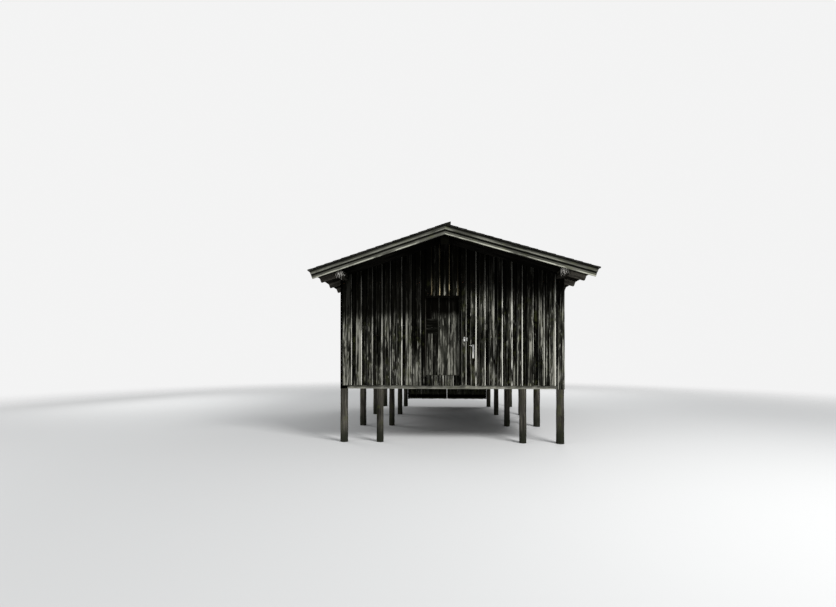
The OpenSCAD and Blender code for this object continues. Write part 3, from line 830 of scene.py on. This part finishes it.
class BOATHOUSE_OT_shingles(bpy.types.Operator):
    """Lay the split shingles in courses from the eaves to the ridge"""

    bl_idname = "boathouse.shingles"
    bl_label = "Shingles"

    # How far down from the ridge the uppermost heads lie, and the butts of the short courses at the ridge
    AT_RIDGE = {LEFT: (-RIDGE_LAP, (0.10, 0.02)), RIGHT: (0.056, (0.2,))}

    def execute(self, context):
        s = sizes()
        half = ROOF_HIGH.y
        for side, name, seed in ((LEFT, "left", 61), (RIGHT, "right", 62)):
            slope = SLOPES[side]
            work = Timberwork(f"shingles_{name}", seed)
            floor = -slope.depth(COVER_T)
            top_u, short = self.AT_RIDGE[side]
            # Each course: where its butts lie, how deep under the surface, and how long its shingles are
            courses = [(slope.length, -0.020, 0.20), (slope.length, -0.010, 0.40)]
            courses += [(slope.length - k * s.exposure, 0.0, s.shingle_l)
                        for k in range(int((slope.length - top_u) / s.exposure))]
            courses += [(butt, 0.0, 0.3) for butt in short]
            for butt, sunk, long in courses:
                y = -half
                while y < half - 0.02:
                    wide = s.shingle_w * work.random.uniform(0.7, 1.3)
                    if half - y - wide < 0.05:
                        wide = half - y
                    self.shingle(work, slope, butt, long, sunk, y, min(half, y + wide), top_u, floor)
                    y += wide
            # The shingles' sides get painted shade with their weathering
            material = wood_finish(f"shingles_{name}", colours().shingle, 0.32, 1, 1.9, tuple(slope.down),
                                   streak=30.0, knots=0.1, green=0.35, flank=0.05)
            work.finish(material, "hut", "shingles", f"roof_cover_{name}")
        return {"FINISHED"}

    def shingle(self, work, slope, butt, long, sunk, y0, y1, top_u, floor):
        """One shingle: thick at its butt, thin at its head, which lies on the roof boards."""
        rng = work.random
        head = max(butt - long, top_u)
        butt -= rng.uniform(0.0, 0.008) if butt < slope.length else rng.uniform(0.0, 0.004)
        share = (butt - head) / sizes().shingle_l
        high = sunk - rng.uniform(0.0, 0.0025)
        thick = rng.uniform(0.008, 0.011)
        low_top = max(floor + 0.004, high - 0.024 * share)
        gap = rng.uniform(0.0008, 0.003)
        tilt = rng.uniform(-0.004, 0.004)
        number, tone = rng.random(), rng.gauss(0.5, 0.25)
        rings = []
        for u, top, deep, wear in ((head, low_top, 0.004, 0.0), (butt, high, thick, 0.5)):
            ring = []
            for y, w, move in ((y0 + gap, top - deep, -tilt), (y1 - gap, top - deep, tilt),
                               (y1 - gap, top, tilt), (y0 + gap, top, -tilt)):
                skew = move if u == butt and butt < slope.length - 0.01 else 0
                place = slope.at(u + skew, max(w, floor), y)
                ring.append(work.point(place, board=number, tone=tone, worn=wear))
            rings.append(ring)
        work.tube(rings)


class BOATHOUSE_OT_roof_boards(bpy.types.Operator):
    """Lay the roof boards that show from below between the rafters"""

    bl_idname = "boathouse.roof_boards"
    bl_label = "Roof boards"

    # Boards meet on a rafter, at one of these places or at this distance from the door gable's end
    JOINTS_Y = (-1.303, 1.303)
    MIDDLE_JOINT = 4.77

    def execute(self, context):
        s = sizes()
        for side, name, seed in ((LEFT, "left", 71), (RIGHT, "right", 72)):
            slope = SLOPES[side]
            low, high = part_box(f"roof_deck_{name}")
            work = Timberwork(f"roof_boards_{name}", seed)
            upper, under = slope.depth(COVER_T), slope.depth(COVER_T + DECK_T)
            end = slope.length - EDGE_SET
            first = under * math.tan(slope.angle) + 0.001
            count = round((end - first) / s.deck_w)
            width = (end - first) / count
            for i in range(count):
                middle = work.random.choice(self.JOINTS_Y) if i % 3 else low.y + self.MIDDLE_JOINT
                breaks = [low.y, middle, high.y]
                for y0, y1 in zip(breaks, breaks[1:]):
                    along = Y if slope.down.cross(Y).dot(slope.out) < 0 else -Y
                    start = slope.at(first + (i + 0.5) * width, -upper, y0 if along.y > 0 else y1)
                    work.board(start, along, slope.down, y1 - y0 - 0.002, width - 0.003, under - upper,
                               work.random.gauss(0.5, 0.2), (0.2, 0.2), drift=0.0006)
            # The roof boards are a dark tone: painted shade under the overhang
            work.finish(frame_finish("roof_boards", (0, 1, 0), shade=0.35, knots=0.8), "hut", "roof_boards",
                        f"roof_deck_{name}")
        return {"FINISHED"}


class BOATHOUSE_OT_bargeboards(bpy.types.Operator):
    """Hang the two tiers of bargeboards on both gables"""

    bl_idname = "boathouse.bargeboards"
    bl_label = "Bargeboards"

    # Name, seed, depth, distance from the shingles' edge to the back, depth of the board that covers its
    # head, tone, wear of the lower edge, and how far wear and painted shade reach in
    TIERS = (
        ("upper", 81, BARGE_UPPER_H, BARGE_FRONT_SET + BARGE_T, 0, 0.6, 0.3, (0.03, 0.042)),
        ("lower", 83, BARGE_LOWER_H, BARGE_FRONT_SET + 2 * BARGE_T, BARGE_UPPER_H, 0.8, 1.2, (0.026, 0.018)),
    )

    def execute(self, context):
        base = colours().barge
        for side, name in ((LEFT, "left"), (RIGHT, "right")):
            slope = SLOPES[side]
            material = wood_finish(f"barge_boards_{name}", base, 0.15, 1, 1.9, tuple(slope.down),
                                   streak=26.0, contrast=1.2, knots=0.25, cracks=0.9, green=0.3,
                                   edge_wear=times(base, 7.0))
            for tier, seed, depth, back, under, tone, wear, wide in self.TIERS:
                work = Timberwork(f"bargeboards_{tier}_{name}", seed + (side > 0))
                top, low = slope.depth(COVER_T), slope.depth(COVER_T + depth)
                tall, middle = low - top, (low + top) / 2
                for end in (-1, 1):
                    across = slope.down.cross(Y * end)
                    up = 1 if across.dot(slope.out) > 0 else -1
                    start = slope.at(0, -middle, end * (ROOF_HIGH.y - back))

                    def mitre(a, up=up):
                        return (middle - up * a) * math.tan(slope.angle)
                    # The lower edge is worn pale, and painted shade lies where a board runs up behind the
                    # shingles or another board
                    hidden = under * slope.depth_scale + 0.022 if under else 0.008
                    edges = (pair[::up] for pair in ((wear, 0), (0, 1), wide, (0, hidden)))
                    work.board(start, slope.down, across, slope.length - EDGE_SET, tall, BARGE_T, tone,
                               *edges, chamfer=0.004, hollow=0.0, steps=14, drift=0.0, first=mitre)
                work.finish(material, "hut", "barge_boards", f"barge_{tier}_{name}")
        return {"FINISHED"}


# Floor and piles


class BOATHOUSE_OT_floor(bpy.types.Operator):
    """Lay the planks of the landing and of the two walkways"""

    bl_idname = "boathouse.floor"
    bl_label = "Floor planks"

    def execute(self, context):
        for node, seed, along, across in (("landing", 91, X, -Y), ("walkways", 92, Y, X)):
            low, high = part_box(node)
            work = Timberwork(f"{node}_planks", seed)
            if node == "landing":
                long, spans = high.x - low.x, ((low.y, high.y),)
            else:
                long, spans = high.y - low.y, ((-high.x, -GATE_X), (GATE_X, high.x))
            for first, last in spans:
                count = round((last - first) / sizes().plank_w)
                width = (last - first) / count
                for i in range(count):
                    middle = first + (i + 0.5) * width
                    start = Vector((low.x, middle, low.z) if node == "landing" else (middle, low.y, low.z))
                    thick = (high.z - low.z) * work.random.uniform(0.94, 1.0)
                    work.board(start, along, across, long, width - 0.006, thick, work.random.gauss(0.5, 0.2),
                               (0.3, 0.3), chamfer=0.003, drift=0.001)
            material = wood_finish(f"{node}_planks", colours().plank, 0.3, 1, 1.8, tuple(along), streak=18.0)
            work.finish(material, "hut", "floor_boards", node)
        return {"FINISHED"}


class BOATHOUSE_OT_piles(bpy.types.Operator):
    """Turn the piles into peeled logs with a slight taper"""

    bl_idname = "boathouse.piles"
    bl_label = "Piles"

    # Sides of each log, and steps up its height
    SIDES = 26
    STEPS = 12

    def execute(self, context):
        work = Timberwork("pile_logs", 101)
        for x, y, radius in self.piles():
            rng = work.random
            number, tone = rng.random(), rng.gauss(0.5, 0.15)
            waves = [(rng.randint(2, 5), rng.uniform(0, 6.28), rng.uniform(0.001, 0.003)) for _ in range(3)]
            rings = []
            for step in range(self.STEPS + 1):
                z = PILE_TOP * step / self.STEPS
                ring = []
                for i in range(self.SIDES):
                    turn = 2 * math.pi * i / self.SIDES
                    r = radius - 0.006 - 0.004 * step / self.STEPS
                    r += sum(size * math.sin(n * turn + phase + 0.8 * z) for n, phase, size in waves) * 0.6
                    r = min(radius, r + 0.002 * math.sin(9 * z + 6.28 * number))
                    ring.append(work.point(Vector((x + r * math.cos(turn), y + r * math.sin(turn), z)),
                                           board=number, tone=tone))
                rings.append(ring)
            work.tube(rings)
        material = wood_finish("pile_logs", times(colours().frame, 1.25), 0.3, 1, 2.2, streak=20.0,
                               cracks=1.0, green=0.3, damp=(0.12, 0.55, (0.016, 0.018, 0.012)))
        work.finish(material, "hut", "piles", "piles")
        return {"FINISHED"}

    def piles(self):
        """Centre and radius of each pile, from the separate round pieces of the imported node."""
        mesh = bmesh.new()
        mesh.from_mesh(frame["nodes"]["piles"].data)
        bmesh.ops.remove_doubles(mesh, verts=mesh.verts, dist=0.0001)
        seen, found = set(), []
        for vertex in mesh.verts:
            if vertex in seen:
                continue
            group, todo = [], [vertex]
            seen.add(vertex)
            while todo:
                v = todo.pop()
                group.append(v.co.copy())
                for edge in v.link_edges:
                    other = edge.other_vert(v)
                    if other not in seen:
                        seen.add(other)
                        todo.append(other)
            xs, ys = [p.x for p in group], [p.y for p in group]
            found.append(((min(xs) + max(xs)) / 2, (min(ys) + max(ys)) / 2, (max(xs) - min(xs)) / 2))
        mesh.free()
        return sorted(found)


# Ironwork


def disc(work, centre, out, radius, thick, sides=7):
    """A flat round head standing on a surface."""
    a = out.orthogonal().normalized()
    b = out.cross(a)
    number = work.random.random()
    rings = []
    for lift, r in ((-0.0004, radius), (thick * 0.6, radius), (thick, radius * 0.6)):
        rings.append([work.point(centre + out * lift + (a * math.cos(t) + b * math.sin(t)) * r, board=number)
                      for t in (2 * math.pi * i / sides for i in range(sides))])
    work.tube(rings)


def bar(work, points, radius, sides=10):
    """A round bar through the points."""
    rings = []
    side = None
    for i, p in enumerate(points):
        ahead = (points[min(i + 1, len(points) - 1)] - points[max(i - 1, 0)]).normalized()
        side = (ahead.orthogonal() if side is None else side - ahead * side.dot(ahead)).normalized()
        up = ahead.cross(side)
        rings.append([work.point(p + (side * math.cos(t) + up * math.sin(t)) * radius)
                      for t in (2 * math.pi * k / sides for k in range(sides))])
    work.tube(rings)


def rounded_plate(work, centre, along, across, long, wide, thick, corner, sides=5):
    """A plate with rounded corners and a softened face, standing out of the wall by thick."""
    out = across.cross(along)

    def outline(inset, lift):
        ring = []
        for sx, sy, begin in ((1, 1, 0), (-1, 1, 90), (-1, -1, 180), (1, -1, 270)):
            r = max(corner - inset, 0.0004)
            middle = Vector((sx * (wide / 2 - corner), sy * (long / 2 - corner)))
            for k in range(sides):
                t = math.radians(begin + 90 * k / (sides - 1))
                a, b = middle.x + r * math.cos(t), middle.y + r * math.sin(t)
                ring.append(centre + across * a + along * b + out * lift)
        return ring
    edge = min(thick * 0.35, 0.0025)
    work.tube([[work.point(p) for p in outline(inset, lift)]
               for inset, lift in ((0, 0), (0, thick - edge), (edge, thick))])


class BOATHOUSE_OT_nails(bpy.types.Operator):
    """Drive the nails of the cover boards and the bolts of the gate straps"""

    bl_idname = "boathouse.nails"
    bl_label = "Nails and bolts"

    # Distances of the bolts of the gate straps from the middle of the hut
    BOLTS_X = (0.80, 1.05, 1.30, 1.55, 1.70)

    def execute(self, context):
        if not NAILS:
            raise RuntimeError("The walls are laid before the nails")
        work = Timberwork("nail_heads", 111)
        for place, out in NAILS:
            disc(work, place - out * 0.002, out, sizes().nail_r * work.random.uniform(0.85, 1.2), 0.0035)
        work.finish(iron_finish(), "hut", "iron")
        work = Timberwork("strap_bolts", 112)
        low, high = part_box("gate_hinges")
        middle = Vector((0, high.y, 0))
        for z in (low.z + 0.02, high.z - 0.02):
            for side in (LEFT, RIGHT):
                for x in self.BOLTS_X:
                    disc(work, middle + Vector((side * x, 0, z)), Y, 0.011, 0.007, 12)
        work.finish(iron_finish(), "hut", "iron")
        return {"FINISHED"}


class BOATHOUSE_OT_lock(bpy.types.Operator):
    """Make the lock plate with its strap, the staple, the padlock and the hook beside it"""

    bl_idname = "boathouse.lock"
    bl_label = "Lock and hook"

    # Where the plate, the link and the staple lie, in from the right-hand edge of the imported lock
    PLATE_IN = 0.008
    LINK_IN = 0.0295
    STAPLE_IN = 0.064
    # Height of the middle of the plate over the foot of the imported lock, and of the strap over that middle
    PLATE_UP = 0.049
    STRAP_UP = 0.031
    PLATE_T = 0.005
    # Radius of the staple and the shackle, and the angles along their bends
    ROD_R = 0.0035
    HALF_TURN = [math.pi * k / 12 for k in range(13)]
    # Middle and radius of the hook's bend, and the foot of the batten
    HOOK_X, HOOK_Z, HOOK_R = 0.462, 2.288, 0.026
    BATTEN_X, BATTEN_Z = 0.520, 2.010

    def execute(self, context):
        low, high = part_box("lock")
        steel = made_once("zinc_steel", zinc_steel, tuple(colours().zinc))
        wall = -WALL_Y
        mid = low.z + self.PLATE_UP
        plate = Vector((high.x - self.PLATE_IN, wall, mid))
        strap = Vector((high.x - self.STAPLE_IN, wall, mid + self.STRAP_UP))
        work = Timberwork("lock_plate", 121)
        rounded_plate(work, plate, Z, X, 0.08, 0.016, self.PLATE_T, 0.004)
        rounded_plate(work, strap, Z, X, 0.018, 0.042, self.PLATE_T, 0.004)
        for z in (-0.03, 0.0, 0.03):
            disc(work, plate + Vector((0, -self.PLATE_T, z)), -Y, 0.0035, 0.0018, 10)
        staple = strap + Z * 0.006
        arch = [staple + Vector((0.012 * math.cos(t), -0.006 - 0.020 * math.sin(t), 0))
                for t in self.HALF_TURN]
        bar(work, [staple + X * 0.012] + arch + [staple - X * 0.012], self.ROD_R)
        work.finish(steel, "hut", "steel", "lock")
        link = Timberwork("lock_link", 124)
        middle = Vector((high.x - self.LINK_IN, wall, mid + self.STRAP_UP))
        rounded_plate(link, middle, Z, X, 0.012, 0.026, 0.004, 0.002)
        link.finish(iron_finish(), "hut", "iron")
        padlock = Timberwork("padlock", 122)
        neck = staple + Vector((0, -0.021, 0.004))
        legs = [neck + Vector((x, 0, -0.036)) for x in (0.014, -0.014)]
        bow = [neck + Vector((0.014 * math.cos(t), 0, 0.001 + 0.010 * math.sin(t))) for t in self.HALF_TURN]
        bar(padlock, [legs[0]] + bow + [legs[1]], self.ROD_R)
        rounded_plate(padlock, neck + Vector((-0.0015, 0.011, -0.062)), Z, X, 0.056, 0.038, 0.022, 0.006)
        padlock.finish(steel, "hut", "steel")
        hook = Timberwork("door_hook", 123)
        eye = Vector((self.HOOK_X, wall - 0.008, self.HOOK_Z))
        bar(hook, [eye + Vector((math.cos(t), 0, math.sin(t))) * self.HOOK_R
                   for t in (math.radians(150 - 12 * k) for k in range(14))], 0.005)
        hook.finish(steel, "hut", "steel")
        batten = Timberwork("lock_batten", 125)
        foot = Vector((self.BATTEN_X, wall, self.BATTEN_Z))
        batten.board(foot, Z, X, 0.32, 0.036, 0.010, 0.4, (0.3, 0.8), steps=4)
        batten.finish(wood_finish("batten", colours().wall_pale, 0.15, 0.55, 2.2, streak=31.0,
                                  bleach=(2.25, 2.02, 0.15)), "hut", "wall_boards")
        return {"FINISHED"}


class BOATHOUSE_OT_nests(bpy.types.Operator):
    """Lay old straw on the ends of the wall plates under the door gable's eaves"""

    bl_idname = "boathouse.nests"
    bl_label = "Old straw"

    # How far in and down from the outer upper edge of the plate's end the straw lies
    PLACE = {LEFT: (0.085, 0.09), RIGHT: (0.16, 0.035)}

    def execute(self, context):
        low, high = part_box("wall_plates")
        straw = Finish("old_straw")
        tone = straw.noise(straw.place, 60.0, 3.0)
        colour = straw.mix(straw.between(tone, 0.35, 0.65), (0.25, 0.24, 0.22), (0.70, 0.68, 0.63))
        material = straw.shade(colour, 0.85, tone, 0.001, 0.4)
        work = Timberwork("old_straw", 131)
        rng = work.random
        for side in (LEFT, RIGHT):
            in_from, down = self.PLACE[side]
            middle = Vector((side * (high.x - in_from), low.y - 0.006, high.z - down))
            for _ in range(sizes().straws):
                a = middle + Vector((rng.uniform(-0.055, 0.08), rng.uniform(-0.012, 0.004),
                                     rng.gauss(0.0, 0.02)))
                turn = rng.gauss(-1.5, 0.45)
                long = rng.uniform(0.04, 0.16)
                b = a + Vector((long * math.cos(turn), rng.uniform(-0.006, 0.006), long * math.sin(turn)))
                bow = Vector((rng.uniform(-0.015, 0.015), rng.uniform(-0.01, 0.0), rng.uniform(-0.01, 0.01)))
                points = [a.lerp(b, t) + bow * (4 * t * (1 - t)) for t in (0, 0.25, 0.5, 0.75, 1)]
                bar(work, points, rng.uniform(0.0011, 0.0022), 4)
        work.finish(material, "hut", "frame_timber")
        return {"FINISHED"}


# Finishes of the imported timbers


class BOATHOUSE_OT_frame_finishes(bpy.types.Operator):
    """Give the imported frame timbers, ledges and irons their finishes"""

    bl_idname = "boathouse.frame_finishes"
    bl_label = "Frame finishes"

    def execute(self, context):
        x, y, z = (1, 0, 0), (0, 1, 0), (0, 0, 1)
        # The sills are pale: partly their own bleached, mossy wood, partly painted light where the boards above
        # shade them
        sill = wood_finish("sills_across", colours().wall_pale, 0.4, 1.1, 2.2, x, streak=16.0, green=0.2)
        finishes = {
            "beams_cross": sill,
            "beams_long": frame_finish("sills_along", y, shade=1.3),
            "floor_joists": frame_finish("joists", y, x, GATE_X),
            "posts": frame_finish("posts", z),
            # The door posts are a darker tone: painted shade in the door's recess
            "door_posts": frame_finish("door_posts", z, shade=0.4),
            # The stops darken at the head of the opening, their end grain near black: painted shade under the
            # door head
            "door_stops": frame_finish("door_stops", z, shade=0.8, bleach=(3.40, 3.45, -0.6),
                                       end=(0.006, 0.006, 0.005)),
            "wall_rails": frame_finish("rails", x, y, FRAME_X - RAIL_T),
            # The heads are near black: painted shade over the door and the gate
            "head_beams": frame_finish("heads", x, shade=0.12),
            "tie_beams": frame_finish("ties", x),
            "king_posts": frame_finish("posts", z),
            "wall_plates": frame_finish("plates", y, shade=0.7, end=(0.045, 0.042, 0.036)),
            # The purlin and its end grain are near black: painted shade under the ridge behind the bargeboards
            "ridge_purlin": frame_finish("purlin", y, shade=0.12, end=(0.003, 0.003, 0.002)),
            "door_ledges": frame_finish("ties", x),
            "door_hinges": iron_finish(),
            "hinge_pins": iron_finish(),
            "gate_hinges": iron_finish(),
        }
        for side, name in ((LEFT, "left"), (RIGHT, "right")):
            down = tuple(SLOPES[side].down)
            rafters, frieze = f"rafters_{name}", f"frieze_{name}"
            # The rafters are pale: painted light thrown up under the eaves. The friezes are near black: painted
            # shade under the overhang
            finishes[rafters] = frame_finish(rafters, down, shade=3.4, end=(0.16, 0.15, 0.12))
            finishes[frieze] = frame_finish(frieze, down, shade=0.25)
        for name, material in finishes.items():
            node = frame["nodes"][name]
            node.data.materials.clear()
            node.data.materials.append(material)
        return {"FINISHED"}


# Stage


class BOATHOUSE_OT_stage(bpy.types.Operator):
    """Set the floor, the soft lights and the camera"""

    bl_idname = "boathouse.stage"
    bl_label = "Floor, lights and camera"

    CAMERA_AT = (-0.223, -14.65, 2.037)
    CAMERA_TURN = 3.0
    LENS = 19.34
    SENSOR = 36.0
    HORIZON_SHIFT = 0.064
    FAR = 400
    FLOOR_HALF = 36
    # Distances from the hut between which the floor fades
    FADE = (9.0, 26.0)
    # Name, place, width and power of each lamp, and the point that they all face
    LAMPS = (
        ("key", (8.5, -13.0, 12.5), 6.0, 2700),
        ("fill", (-12.0, -11.0, 6.0), 8.0, 350),
        ("back", (6.0, 14.0, 9.0), 8.0, 900),
        ("side", (-14.0, 5.0, 7.0), 8.0, 600),
    )
    MIDDLE = Vector((0, 0, 2.2))

    def execute(self, context):
        scene = context.scene
        scene.view_settings.view_transform = "Standard"
        self.floor()
        self.world(scene)
        for name, place, size, power in self.LAMPS:
            light = bpy.data.lights.new(name, "AREA")
            light.shape, light.size, light.energy = "SQUARE", size, power
            lamp = put_in_scene(name, light)
            lamp.location = place
            lamp.rotation_euler = (self.MIDDLE - lamp.location).to_track_quat("-Z", "Y").to_euler()
        camera = bpy.data.cameras.new("camera")
        camera.lens, camera.sensor_width = self.LENS, self.SENSOR
        camera.shift_y = self.HORIZON_SHIFT
        camera.clip_end = self.FAR
        view = put_in_scene("camera", camera)
        view.location = self.CAMERA_AT
        view.rotation_euler = (math.radians(90), 0, math.radians(self.CAMERA_TURN))
        scene.camera = view
        return {"FINISHED"}

    def floor(self):
        """A wide level floor just under the feet of the piles."""
        mesh = bmesh.new()
        bmesh.ops.create_grid(mesh, x_segments=8, y_segments=8, size=self.FLOOR_HALF,
                              matrix=Matrix.Translation((0, 0, -0.0005)))
        material = plain_ground("studio_floor", tuple(colours().ground), *self.FADE)
        mesh_object("studio_floor", mesh, material)

    def world(self, scene):
        """A soft sky that lights the hut, and a pale backdrop that the camera and shiny metal see."""
        world = bpy.data.worlds.new("studio")
        nodes = Nodes(world)
        ray = nodes.tree.nodes.new("ShaderNodeLightPath").outputs
        seen = ray["Is Camera Ray"]
        for other in ("Is Glossy Ray", "Is Transmission Ray"):
            seen = nodes.add("ShaderNodeMath", {0: seen, 1: ray[other]}, operation="MAXIMUM")
        sky, backdrop = (nodes.add("ShaderNodeBackground", {"Color": colour, "Strength": strength})
                         for colour, strength in (((0.94, 0.97, 1.0, 1), 0.45), ((0.9, 0.9, 0.9, 1), 1.0)))
        surface = nodes.add("ShaderNodeMixShader", {0: seen, 1: sky, 2: backdrop})
        nodes.add("ShaderNodeOutputWorld", {"Surface": surface})
        scene.world = world


class BOATHOUSE_PT_parts(bpy.types.Panel):
    """Lists the boathouse's pieces, sizes and colours"""

    bl_idname = "BOATHOUSE_PT_parts"
    bl_label = "Boathouse"
    bl_space_type = "VIEW_3D"
    bl_region_type = "UI"
    bl_category = "Boathouse"

    def draw(self, context):
        layout = self.layout
        for operator in OPERATORS:
            layout.operator(operator.bl_idname)
        for group in (context.scene.boathouse_sizes, context.scene.boathouse_colours):
            box = layout.box()
            for key in group.__annotations__:
                box.prop(group, key)


OPERATORS = (
    BOATHOUSE_OT_front_wall,
    BOATHOUSE_OT_side_walls,
    BOATHOUSE_OT_back_wall,
    BOATHOUSE_OT_boat_gate,
    BOATHOUSE_OT_door,
    BOATHOUSE_OT_shingles,
    BOATHOUSE_OT_roof_boards,
    BOATHOUSE_OT_bargeboards,
    BOATHOUSE_OT_floor,
    BOATHOUSE_OT_piles,
    BOATHOUSE_OT_nails,
    BOATHOUSE_OT_lock,
    BOATHOUSE_OT_nests,
    BOATHOUSE_OT_frame_finishes,
    BOATHOUSE_OT_stage,
)
CLASSES = (BoathouseSizes, BoathouseColours) + OPERATORS + (BOATHOUSE_PT_parts,)


def register():
    for cls in CLASSES:
        bpy.utils.register_class(cls)
    bpy.types.Scene.boathouse_sizes = PointerProperty(type=BoathouseSizes)
    bpy.types.Scene.boathouse_colours = PointerProperty(type=BoathouseColours)


def unregister():
    del bpy.types.Scene.boathouse_colours
    del bpy.types.Scene.boathouse_sizes
    for cls in reversed(CLASSES):
        bpy.utils.unregister_class(cls)


def run(operator):
    """Calls an operator through bpy.ops and stops the script if it doesn't finish."""
    group, name = operator.bl_idname.split(".")
    if getattr(getattr(bpy.ops, group), name)() != {"FINISHED"}:
        raise RuntimeError(f"{operator.bl_label} didn't finish")


def main():
    register()
    for operator in OPERATORS:
        run(operator)
    bpy.context.view_layer.update()


if __name__ == "__main__":
    main()
